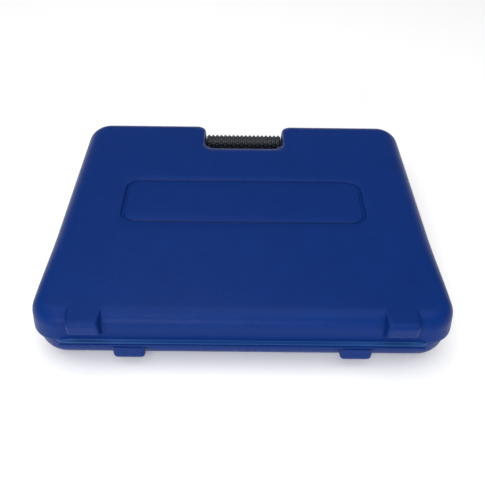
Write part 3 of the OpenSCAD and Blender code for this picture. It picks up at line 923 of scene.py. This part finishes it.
def make_grip():
    """The grip, with knurled ribs round it, flattened below where its ends pass the pegs."""
    end = GRIP_HI.x + GRIP_OVERLAP
    pitch = 2 * end / RIBS
    xs = np.arange(-end + 0.8 * MM, end - 0.7 * MM, pitch / 10)
    core = rounded_rectangle(GRIP_HI.y - GRIP_LO.y, GRIP_HI.z - GRIP_LO.z, 8 * MM, steps=13, side=9)
    deep = offset(core, RIB_DEPTH)
    step = np.linalg.norm(core - np.roll(core, 1, 0), axis=1)
    way_round = np.cumsum(step) / step.sum()

    def ribs(x, _):
        t = ((x + end) / pitch) % 1
        rib = smooth(0.5 + (0.25 - abs(t - 0.5)) / 0.2)
        row = int((x + end) / pitch) % 2
        knob = 0.5 + 0.5 * np.cos(2 * math.pi * (KNOBS * way_round + row / 2))
        sink = 1 - rib * (0.35 + 0.65 * smooth(1.6 * knob))
        section = core + (deep - core) * sink[:, None]
        if abs(x) > GRIP_HI.x + 1 * MM:
            section[:, 1] = np.maximum(section[:, 1], PEG_CLEAR_Z)
        return section + (GRIP_Y, GRIP_Z)

    grip = Build()
    prism_x(grip, core, -end, end, 0.3 * MM, vary=ribs, xs=xs)
    piece("handle_grip_ribbed", grip, GRIP, "handle", "grip_black", "handle_grip", angle=180)


def make_handle_arms():
    """The two arms between the grip and its pins."""
    bar = rounded_rectangle(17 * MM, 23.6 * MM, 7 * MM, side=4) + (GRIP_Y, GRIP_Z)
    section = hull([*circle(HANDLE_Y, HANDLE_Z, 6 * MM), *bar])
    arms = Build()
    for side in (-1, 1):
        x0, x1 = sorted((side * GRIP_HI.x, side * (NOTCH_W / 2 - 0.7 * MM)))
        prism_x(arms, section, x0, x1, 0.6 * MM)
    piece("handle_arms", arms, BLACK, "handle", "handle_black", "handle_frame", angle=180)


def make_handle_pins():
    """Two headed pins, each through an arm and into the base."""
    profile = [(0, 2.4), (0.3, 3.2), (0.8, 3.65), (1.2, 3.75), (1.5, 3.75), (1.5, 2.5), (11, 2.5),
               (11.5, 2.1)]
    pins = Build()
    for side in (-1, 1):
        x = side * (GRIP_HI.x - 1.7 * MM)
        lathe_x(pins, [(x + side * a * MM, r * MM) for a, r in profile], HANDLE_Y, HANDLE_Z)
    piece("handle_pivot_pins", pins, STEEL, "case_base", "pin_steel", "handle_pins")


def latch_section(low):
    """A latch from the side, anticlockwise: its front, its knuckle and its hooked inside."""
    out, lip = PIN_Y + KNUCKLE_R, BACK_Y + 0.85 * MM
    front = [(out, z) for z in np.linspace(low + 1.2 * MM, PIN_Z - 1.2 * MM, 30)]
    inside = [(out - 3 * MM, PIN_Z - 4.2 * MM), (out - 3 * MM, low + 3.6 * MM),
              (out - 3.5 * MM, low + 3 * MM), (lip + 0.5 * MM, low + 3 * MM), (lip, low + 2.5 * MM),
              (lip, low + 0.6 * MM), (lip + 0.6 * MM, low), (out - 1 * MM, low),
              (out - 0.3 * MM, low + 0.4 * MM)]
    return np.concatenate([front, arc(PIN_Y, PIN_Z, KNUCKLE_R, 0, 243, 21), inside])


def make_latches():
    """Both latches, each with a sunken panel and finger ridges on its front."""
    out = PIN_Y + KNUCKLE_R
    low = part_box("left_latch")[0].z
    for name in ("left_latch", "right_latch"):
        middle = PIVOTS[name + "_flip"][0]

        def panel(x, points):
            points = np.array(points)
            z = points[:, 1]
            off = abs(x - middle)
            up = smooth((z - low - 9 * MM) / (1.4 * MM)) * smooth((PIN_Z - 4.5 * MM - z) / (1.4 * MM))
            sink = 0.7 * MM * up * smooth((15 * MM - off) / (1.6 * MM))
            ends = smooth((low + 8 * MM - z) / (0.4 * MM)) * smooth((z - low - 1.4 * MM) / (0.4 * MM))
            ridge = smooth(0.5 + 2.2 * np.sin((z - low) / (1.9 * MM) * 2 * math.pi)) * ends
            groove = 0.45 * MM * ridge * smooth((17 * MM - off) / (1 * MM))
            points[:, 0] -= (points[:, 0] > out - 0.9 * MM) * (sink + groove)
            return points

        xs = np.linspace(middle - 18.6 * MM, middle + 18.6 * MM, 54)
        build = Build()
        prism_x(build, latch_section(low), middle - LATCH_W / 2, middle + LATCH_W / 2, 0.8 * MM,
                vary=panel, xs=xs)
        piece(name + "_moulded", build, BLACK, name, "latch_black", name)


def make_hinge_bead():
    """The fold between the plies, slightly uneven along its length."""
    lo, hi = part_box("living_hinge_web")
    y, z = (lo.y + hi.y) / 2, (lo.z + hi.z) / 2
    build = Build()
    xs = np.linspace(lo.x + 2 * MM, hi.x - 2 * MM, 240)

    def wave(x, points):
        pinch = 0.12 * MM * (1 + noise.noise(Vector((x * 90, 0.2, 0.7))))
        return offset(points, pinch) if pinch > 0 else points

    prism_x(build, circle(y, z, 1.2 * MM, 24), lo.x, hi.x, 1.1 * MM, vary=wave, xs=xs)
    piece("hinge_fold", build, BLUE, "case_base", "hinge_blue", "living_hinge_web", angle=180)


# ---------------------------------------------------------------- trays and foam

TRAY_T = 1.6 * MM
TRAY_INSET = 6 * MM
TRAY_FLOOR_H = HALF_H - 6 * MM
TRAY_R = 9 * MM
FOAM_GAP = 0.3 * MM
FOAM_TOP_H = TRAY_FLOOR_H - TRAY_T - 2 * FOAM_GAP
FOAM_STEP_H = FOAM_TOP_H - 4 * MM
BASE_FOAM_LOW = 1 * MM
LID_FOAM_LOW = 13.1 * MM
FOAM_BACK_R = 0.8 * MM
HOLE_R = 1.2 * MM
CRATE_PITCH = 26 * MM
CRATE_H = 2.1 * MM
READER_X, READER_Y = 88 * MM, -45 * MM


def foam_inset(h):
    """Inset of a foam sheet's wall at height h, a gap inside the tray's inner wall."""
    top, r = TRAY_FLOOR_H - TRAY_T, TRAY_R - TRAY_T
    over = min(max(h - top + r, 0), r)
    wall = TRAY_INSET + TRAY_T + min(h, top - r) * math.tan(DRAFT)
    return wall + r - math.sqrt(r * r - over * over) + FOAM_GAP


def make_trays():
    """Both halves' inner walls, each with a flange that lies on the outer shell's edge."""
    low, flange_z, edge = SEAM_GAP / 2, SEAM_GAP / 2 + 1.6 * MM, SKIN_T + 0.1 * MM
    outside = wall_profile(TRAY_FLOOR_H, TRAY_R, TRAY_INSET, flange_z, 0)[::-1, [0, 3]]
    inside = wall_profile(TRAY_FLOOR_H - TRAY_T, TRAY_R - TRAY_T, TRAY_INSET + TRAY_T, low, 0,
                          wall_n=8)[:, [0, 3]]
    lip = [(inside[0][0] - e, low + d) for e, d in rim(1.1 * MM)[::-1]]
    profile = np.concatenate([outside, [(edge, flange_z), (edge, low)], lip,
                              [p for p in inside if p[1] > low + 1.3 * MM]])
    floor = Polygon(offset(outline(profile[-1][0], profile[-1][0]), 6 * MM))
    for half, (turn, body) in HALVES.items():
        build = Build()
        ids = build.rings([at_height(outline(e, e), h) for e, h in profile])
        build.fill(ids[0])
        build.fill(ids[-1], extra=grid_points(10 * MM, 25 * MM, floor.holds), height=warp)
        piece(half + "_tray_moulded", build, BLUE, body, "case_blue", half + "_inner_tray", turn=turn)


def foam_wall(build, low, high, r):
    """Rings of a foam sheet's wall that follows the tray, from its face to its back."""
    rings = [(foam_inset(low + r) + e, low + d) for e, d in rim(r)][::-1]
    rings += [(foam_inset(h), h) for h in np.linspace(low + r, high - FOAM_BACK_R, 6)[1:]]
    rings += [(foam_inset(high) + e, high - d) for e, d in rim(FOAM_BACK_R, 2)][1:]
    return build.rings([at_height(outline(e, e), h) for e, h in rings])


def ring_and_handle(r, half, corners, corner_r):
    """A ring's outline with a handle to its left, half on each side of the middle: the ring's
    arc and the handle's corners above the middle, mirrored below, in millimetres."""
    a = 180 - math.degrees(math.asin(half / r))
    below = [(x, -y) for x, y in corners[::-1]]
    return loop([*arc(0, 0, r, -a, a, 140), *corners, *below], corner_r)


def reader_print():
    """The reader's place in the foam, with the finger wells and room for the battery door."""
    half, well, door = 21.5, 42, 24
    corners = [(-97, half), (-97, well), (-143, well), (-143, half), (-187, half), (-187, door),
               (-247, door)]
    return ring_and_handle(60.5, half, corners, 6) * MM + (READER_X, READER_Y)


def even(points, step):
    """The same closed outline with extra points on its long sides."""
    out = []
    for a, b in zip(points, np.roll(points, -1, 0)):
        out += [a, *between(a, b, int(np.linalg.norm(b - a) / step))]
    return np.array(out)


def felt(x, y):
    """The slight unevenness of a foam sheet's face."""
    return 0.35 * MM * noise.noise(Vector((x * 60, y * 60, 1.7)))


def crate(x, y):
    """The waves of an egg-crate sheet."""
    wave = math.cos(2 * math.pi * x / CRATE_PITCH) * math.cos(2 * math.pi * y / CRATE_PITCH)
    return CRATE_H * (1 - wave) + 0.3 * felt(x, y)


def foam_sheet(name, half, node, low, high, r, grid, height, holes=(), angle=60):
    """A foam sheet in a tray, with its face at height low. The face's points are on a grid with
    the given pitch, margin and inset, and height(x, y) moves them."""
    build = Build()
    turn, body = HALVES[half]
    pitch, margin, inset = grid
    ids = foam_wall(build, low, high, r)
    rims = [build.rings([at_height(offset(h, -e), low + d) for e, d in rim(HOLE_R)][::-1]
                        + [at_height(h, z) for z in np.linspace(low + HOLE_R, high, 5)[1:]])
            for h in holes]
    edge = Polygon(outline(inset, inset))
    cuts = [Polygon(offset(h, -3.5 * MM)) for h in holes]

    def on_face(x, y):
        return edge.holds(x, y) and not any(c.holds(x, y) for c in cuts)

    build.fill(ids[0], [r[0] for r in rims], extra=grid_points(pitch, margin, on_face), height=height)
    build.fill(ids[-1], [r[-1] for r in rims])
    obj = piece(name, build, FOAM, body, "foam", node, angle=angle, turn=turn)


def make_foams():
    """The base's cut sheet on its bottom sheet, and the lid's egg-crate sheet."""
    pocket = even(rounded_rectangle(170 * MM, 58 * MM, 7 * MM, 62 * MM, -70 * MM), 8 * MM)
    foam_sheet("cut_foam_sheet", "base", "base_foam_insert", BASE_FOAM_LOW, FOAM_STEP_H - 0.02 * MM,
               1.6 * MM, (6 * MM, 12 * MM, 13 * MM), felt, holes=[even(reader_print(), 5 * MM), pocket])
    foam_sheet("foam_bottom_sheet", "base", "base_foam_floor", FOAM_STEP_H + 0.1 * MM, FOAM_TOP_H,
               0.6 * MM, (7 * MM, 14 * MM, 16 * MM), lambda x, y: abs(felt(x, y)))
    foam_sheet("egg_crate_foam", "lid", "lid_foam_pad", LID_FOAM_LOW, FOAM_TOP_H,
               1.5 * MM, (3.25 * MM, 9 * MM, 11 * MM), crate, angle=180)


# ---------------------------------------------------------------- the reader

READER_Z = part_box("reader_rear_housing")[0].z
READER_T = 30 * MM
SPLIT = 15 * MM
WALL = 2 * MM
ROUND = 5 * MM
STEM = 207.0
HALF_GRIP = 20.0
SCAN_X, SCAN_R = -119.0, 7.9
MENU_X, MENU_R = -137.5, 4.9
LED_X, LED_R = -103.6, 1.4
DISPLAY_X0, DISPLAY_X1 = -99.0, -63.0
DISPLAY_HALF = 10.0
BOSS_X, BOSS_Y = (-106, -145), 14.4
RING_BOSS_R, RING_BOSS_A = 54.6, (0, 62, -62)
SHAFT_R = 2.75 * MM
KEY_LOW, KEY_TOP = 26.6, 31.3


def reader_outline():
    """The reader from above, its ring's middle at the origin, in millimetres."""
    return even(ring_and_handle(59.0, HALF_GRIP, [(-STEM, HALF_GRIP)], 5.5), 6.0)


def in_reader(build):
    """Vertices carried from the reader's own coordinates, with its ring's middle at the origin."""
    return [(x + READER_X, y + READER_Y, z + READER_Z) for x, y, z in build.v]


def housing(face, holes):
    """A hollow half of the reader between its split and a face, with holes in the face."""
    s = 1 if face > SPLIT else -1
    split = SPLIT + s * 0.3 * MM
    outer, ring = reader_outline() * MM, circle(0, 0, 33 * MM, 96)
    build = Build()

    def sides(points, sign, start, r, to):
        rings = [at_height(offset(points, sign * start), z) for z in (split, to - s * r)]
        rings += [at_height(offset(points, sign * (start + e)), to - s * d) for e, d in rim(r, 6)][1:]
        return build.rings(rings)

    out, out_ring = (sides(p, q, 0, ROUND, face) for p, q in ((outer, 1), (ring, -1)))
    inn, inn_ring = (sides(p, q, WALL, ROUND - WALL, face - s * WALL) for p, q in ((outer, 1), (ring, -1)))
    build.bridge(out[0], inn[0])
    build.bridge(out_ring[0], inn_ring[0])
    walls = [build.rings([at_height(offset(h, -e), face - s * d) for e, d in rim(0.35 * MM, 3)][::-1]
                         + [at_height(h, face - s * WALL)]) for h in holes]
    build.fill(out[-1], [out_ring[-1]] + [w[0] for w in walls])
    build.fill(inn[-1], [inn_ring[-1]] + [w[-1] for w in walls])
    return build


def tube(build, x, y, inner_r, outer_r, z0, z1):
    """An upright tube, closed all round."""
    ids = build.rings([at_height(circle(x, y, r, 24), z) for r, z in (
        (inner_r, z0), (outer_r, z0), (outer_r, z1), (inner_r, z1))])
    build.bridge(ids[-1], ids[0])


def open_end(obj, shafts=()):
    """Cuts the handle's end open, so that the battery door closes it, and the screws' shafts
    through the face."""
    x0, x1 = READER_X - (STEM + 4) * MM, READER_X - (STEM - 3.5) * MM
    opening = rounded_rectangle(2 * HALF_GRIP * MM - 2 * WALL, READER_T - 2 * WALL, 3 * MM, steps=5, side=1)
    build = Build()
    prism_x(build, opening + (READER_Y, READER_Z + READER_T / 2), x0, x1, 0.01 * MM)
    shaft = [(SHAFT_R, READER_Z - 1 * MM), (SHAFT_R, READER_Z + ROUND)]
    for x, y in shafts:
        lathe_z(build, shaft, x + READER_X, y + READER_Y, 24)
    cutter = make_object("cutter", build.v, build.f, BLACK)
    cut = obj.modifiers.new("open_end", "BOOLEAN")
    cut.operation, cut.solver, cut.object = "DIFFERENCE", "EXACT", cutter
    bpy.context.view_layer.update()
    mesh = bpy.data.meshes.new_from_object(obj.evaluated_get(bpy.context.evaluated_depsgraph_get()))
    obj.modifiers.clear()
    obj.data = mesh
    bpy.data.objects.remove(cutter)


def key_profile(r):
    """(radius, height) pairs of a dished key with a flange under the housing, in millimetres."""
    low, top = KEY_LOW, KEY_TOP
    return [(r + 1.3, low), (r + 1.3, low + 1.2), (r, low + 1.2), (r, top - 0.9), (r - 0.1, top - 0.5),
            (r - 0.35, top - 0.15), (r - 0.8, top), (r * 0.78, top - 0.1), (r * 0.55, top - 0.35),
            (r * 0.3, top - 0.5), (r * 0.1, top - 0.55)]


def make_housings(window):
    """Both halves of the reader, the screws' shafts through the rear one, and their bosses."""
    holes = [window] + [circle(x * MM, 0, (r + 0.1) * MM, n) for x, r, n in (
        (SCAN_X, SCAN_R, 48), (MENU_X, MENU_R, 48), (LED_X, LED_R, 24))]
    front = piece("reader_front_moulded", housing(READER_T, holes), GREY, "case_base", "reader_grey",
                  "reader_front_housing", turn=in_reader)
    rear = piece("reader_rear_moulded", housing(0.0, []), TEAL, "case_base", "reader_teal",
                 "reader_rear_housing", turn=in_reader)
    shafts = [(x * MM, s * BOSS_Y * MM) for x in BOSS_X for s in (-1, 1)]
    shafts += [arc(0, 0, RING_BOSS_R * MM, a, a, 0)[0] for a in RING_BOSS_A]
    open_end(front)
    open_end(rear, shafts)
    bosses = Build()
    for x, y in shafts:
        tube(bosses, x, y, SHAFT_R, SHAFT_R + 1.1 * MM, ROUND - 1.5 * MM, SPLIT - 0.5 * MM)
    piece("reader_screw_bosses", bosses, TEAL, "case_base", "reader_teal", turn=in_reader)


def make_window(window):
    """The clear window over the display."""
    build = Build()
    top = READER_T - 0.2 * MM
    ids = build.rings(wall_rings(offset(window, 0.1 * MM), top - 1.6 * MM, top, 0.15 * MM, 0.3 * MM))
    build.fill(ids[0])
    build.fill(ids[-1])
    piece("window_lens", build, lens_material(), "case_base", "lens", "display_window", turn=in_reader)


def make_keys_and_light():
    """Two rubber keys and the light pipe, each turned about its own upright line."""
    for name, x, r, material, slot in (("scan_button", SCAN_X, SCAN_R, ORANGE, "button_orange"),
                                       ("menu_button", MENU_X, MENU_R, DARK_KEY, "button_dark")):
        build = Build()
        lathe_z(build, [(a * MM, z * MM) for a, z in key_profile(r)], x * MM, 0)
        piece(name + "_key", build, material, name, slot, name, turn=in_reader)
    build = Build()
    profile = [(LED_R, 22.7), (LED_R, 29.8), (1.1, 30.1), (0.6, 30.25), (0.1, 30.3)]
    lathe_z(build, [(a * MM, z * MM) for a, z in profile], LED_X * MM, 0, 24)
    piece("status_light_pipe", build, LED, "case_base", "led", "status_led", turn=in_reader)


def make_battery_door():
    """The cap with its plug, and four finger bars on its end."""
    lo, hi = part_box("battery_door")
    middle = ((lo.y + hi.y) / 2, (lo.z + hi.z) / 2)
    w, h = hi.y - lo.y, hi.z - lo.z
    cap = rounded_rectangle(w, h, ROUND, steps=7, side=6) + middle
    plug = rounded_rectangle(w - 4.6 * MM, h - 4.6 * MM, 2.6 * MM, steps=7, side=6) + middle
    seat = lo.x + 5 * MM
    sections = [(hi.x, offset(plug, 0.4 * MM)), (hi.x - 0.4 * MM, plug), (seat, plug), (seat, cap)]
    sections += [(lo.x + d, offset(cap, e)) for e, d in rim(2.2 * MM, 5)]
    build = Build()
    build.loft([[(x, y, z) for y, z in section] for x, section in sections])
    bar = rounded_rectangle(1.6 * MM, 14 * MM, 0.75 * MM, side=2) + middle
    for k in range(4):
        prism_x(build, bar + ((k - 1.5) * 5 * MM, 0), lo.x, lo.x + 2 * MM, 0.35 * MM)
    piece("battery_door_cap", build, TEAL, "battery_door", "reader_teal", "battery_door")


def make_reader():
    """The reader's outer pieces."""
    x0, x1 = DISPLAY_X0 + 1, DISPLAY_X1 - 1
    window = loop([(x0, -DISPLAY_HALF), (x1, -DISPLAY_HALF), (x1, DISPLAY_HALF), (x0, DISPLAY_HALF)],
                  1.6) * MM
    make_housings(window)
    make_window(window)
    make_keys_and_light()
    make_battery_door()


def paint_the_rest():
    """Materials for the pieces inside the reader, which keep their own shapes."""
    finishes = {
        "housing_gasket": DARK_KEY, "housing_screws": STEEL, "antenna_bobbin": NYLON,
        "antenna_coil": winding_material(), "main_circuit_board": board_material(), "board_chips": CHIP,
        "display_module": display_material(), "button_switches": CHIP, "buzzer": CHIP,
        "battery_tray": BLACK, "battery_cells": sleeve_material(), "battery_springs": NICKEL,
        "door_contact_strip": NICKEL, "latch_pins": STEEL,
    }
    for node, material in finishes.items():
        obj = frame["nodes"][node]
        obj.data.materials.clear()
        obj.data.materials.append(material)


make_case_shells()
make_hinge_bead()
make_grip()
make_handle_arms()
make_handle_pins()
make_latches()
make_trays()
make_foams()
make_reader()
paint_the_rest()

# ---------------------------------------------------------------- floor, light and camera


FLOOR_REACH = 3
LIGHTS = {
    "overhead": {"at": (-0.1, -0.1, 2.2), "target": (0, 0, 0), "size": (3.2, 2.6), "power": 50},
    "front": {"at": (-0.45, -2.2, 0.6), "target": (0, 0, 0.03), "size": (1.3, 0.35), "power": 19},
    "by_the_camera": {"at": (-0.3, -0.95, 0.95), "target": (0, 0, 0.03), "size": (0.45, 0.35),
                      "power": 2.5},
}
CAMERA_AT = (-3.7 * MM, -452.5 * MM, 448.2 * MM)
CAMERA_LENS = 42.06
CAMERA_HEADING, CAMERA_TILT, CAMERA_ROLL = (math.radians(a) for a in (0.407, 44.618, 0.893))


def make_stage():
    """A pale matt floor under a dim, even sky."""
    r = FLOOR_REACH
    material = principled("pale_floor", (0.93, 0.93, 0.93), 0.9, Emission_Strength=0.16)[0]
    floor = make_object("floor", [(-r, -r, 0), (r, -r, 0), (r, r, 0), (-r, r, 0)], [(0, 1, 2, 3)],
                        material)
    world = bpy.data.worlds.new("studio")
    bpy.context.scene.world = world
    world.use_nodes = True
    world.node_tree.nodes["Background"].inputs["Color"].default_value = (1, 1, 1, 1)
    world.node_tree.nodes["Background"].inputs["Strength"].default_value = 0.22


def make_light(name, at, target, size, power):
    """A rectangular area light that faces its target."""
    light = bpy.data.lights.new(name, "AREA")
    light.shape = "RECTANGLE"
    light.size, light.size_y = size
    light.energy = power
    obj = bpy.data.objects.new(name, light)
    obj.location = at
    obj.rotation_euler = (Vector(target) - Vector(at)).to_track_quat("-Z", "Y").to_euler()
    bpy.context.collection.objects.link(obj)


def make_camera():
    """The camera, from its heading, tilt and roll."""
    north, east = math.cos(CAMERA_HEADING), math.sin(CAMERA_HEADING)
    forward = Vector((east * math.cos(CAMERA_TILT), north * math.cos(CAMERA_TILT), -math.sin(CAMERA_TILT)))
    level = Vector((north, -east, 0))
    above = level.cross(forward)
    right = level * math.cos(CAMERA_ROLL) + above * math.sin(CAMERA_ROLL)
    up = above * math.cos(CAMERA_ROLL) - level * math.sin(CAMERA_ROLL)
    camera = bpy.data.cameras.new("camera")
    camera.lens = CAMERA_LENS
    camera.sensor_width = 36
    obj = bpy.data.objects.new("camera", camera)
    turn = Matrix((right, up, -forward)).transposed().to_4x4()
    obj.matrix_world = Matrix.Translation(CAMERA_AT) @ turn
    bpy.context.collection.objects.link(obj)
    bpy.context.scene.camera = obj


make_stage()
for name, settings in LIGHTS.items():
    make_light(name, **settings)
make_camera()
bpy.context.scene.view_settings.view_transform = "Standard"
